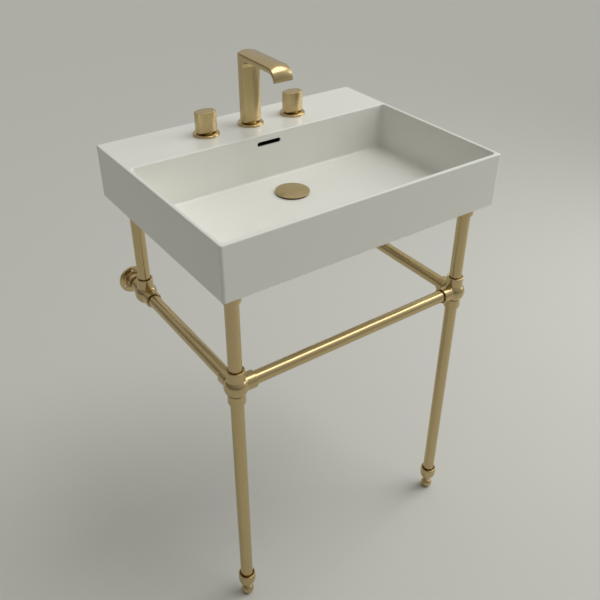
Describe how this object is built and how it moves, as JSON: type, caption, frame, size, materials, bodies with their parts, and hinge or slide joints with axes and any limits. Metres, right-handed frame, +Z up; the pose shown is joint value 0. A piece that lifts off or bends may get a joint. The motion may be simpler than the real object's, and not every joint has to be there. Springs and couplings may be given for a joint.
{
  "type": "console sink",
  "caption": "Wall-backed console sink: rectangular ceramic basin on a tubular brass stand, with a widespread tap, an overflow and a pop-up waste.",
  "frame": {"origin": "on the floor, below the middle of the basin's outline", "axes": "+Z up; +Y towards the wall, whose face is the plane Y = 0.232 m; +X to the right of someone who stands in front of the sink"},
  "size_m": [0.6, 0.464, 1.0442],
  "materials": {
    "glazed_ceramic": "satin white glaze",
    "champagne_brass": "satin brushed champagne gold",
    "plain_brass": "plain machined",
    "stainless_steel": "plain machined",
    "black_rubber": "moulded",
    "white_plastic": "moulded"
  },
  "bodies": {
    "stand": {"basin": "glazed_ceramic", "waste_body": "champagne_brass", "waste_gasket": "black_rubber", "waste_washer": "black_rubber", "waste_lock_nut": "plain_brass", "waste_tailpiece": "champagne_brass", "plug_latch": "plain_brass", "hot_cartridge": "plain_brass", "hot_base_ring": "champagne_brass", "hot_valve_body": "plain_brass", "cold_cartridge": "plain_brass", "cold_base_ring": "champagne_brass", "cold_valve_body": "plain_brass", "spout": "champagne_brass", "spout_aerator": "white_plastic", "spout_base_ring": "champagne_brass", "spout_shank": "plain_brass", "spout_tee": "plain_brass", "tap_gaskets": "black_rubber", "tap_washers": "stainless_steel", "tap_lock_nuts": "plain_brass", "left_front_joint": "champagne_brass", "left_rear_joint": "champagne_brass", "left_upper_leg": "champagne_brass", "left_rear_post": "champagne_brass", "left_lower_leg": "champagne_brass", "left_side_bar": "champagne_brass", "left_wall_stub": "champagne_brass", "left_wall_flange": "champagne_brass", "left_front_top_flange": "champagne_brass", "left_rear_top_flange": "champagne_brass", "left_foot_cup": "champagne_brass", "right_front_joint": "champagne_brass", "right_rear_joint": "champagne_brass", "right_upper_leg": "champagne_brass", "right_rear_post": "champagne_brass", "right_lower_leg": "champagne_brass", "right_side_bar": "champagne_brass", "right_wall_stub": "champagne_brass", "right_wall_flange": "champagne_brass", "right_front_top_flange": "champagne_brass", "right_rear_top_flange": "champagne_brass", "right_foot_cup": "champagne_brass", "front_bar": "champagne_brass", "top_pads": "black_rubber", "foot_jam_nuts": "champagne_brass", "socket_screws": "stainless_steel"},
    "hot_handle": {"hot_knob": "champagne_brass", "hot_knob_screw": "stainless_steel", "hot_spindle": "plain_brass"},
    "cold_handle": {"cold_knob": "champagne_brass", "cold_knob_screw": "stainless_steel", "cold_spindle": "plain_brass"},
    "plug": {"plug_cap": "champagne_brass", "plug_seal": "black_rubber", "plug_stem": "stainless_steel"},
    "left_levelling_foot": {"left_foot": "champagne_brass"},
    "right_levelling_foot": {"right_foot": "champagne_brass"}
  },
  "joints": [
    {"name": "hot_handle_turn", "type": "hinge", "parent": "stand", "child": "hot_handle", "pos_m": [-0.1016, 0.1613, 0.9271], "axis": [0, 0, 1], "range_deg": [0, 90]},
    {"name": "cold_handle_turn", "type": "hinge", "parent": "stand", "child": "cold_handle", "pos_m": [0.1016, 0.1613, 0.9271], "axis": [0, 0, 1], "range_deg": [-90, 0]},
    {"name": "plug_lift", "type": "slide", "parent": "stand", "child": "plug", "axis": [0, 0, 1], "range_m": [0, 0.008]},
    {"name": "left_foot_extend", "type": "slide", "parent": "stand", "child": "left_levelling_foot", "axis": [0, 0, -1], "range_m": [0, 0.012]},
    {"name": "right_foot_extend", "type": "slide", "parent": "stand", "child": "right_levelling_foot", "axis": [0, 0, -1], "range_m": [0, 0.012]}
  ]
}
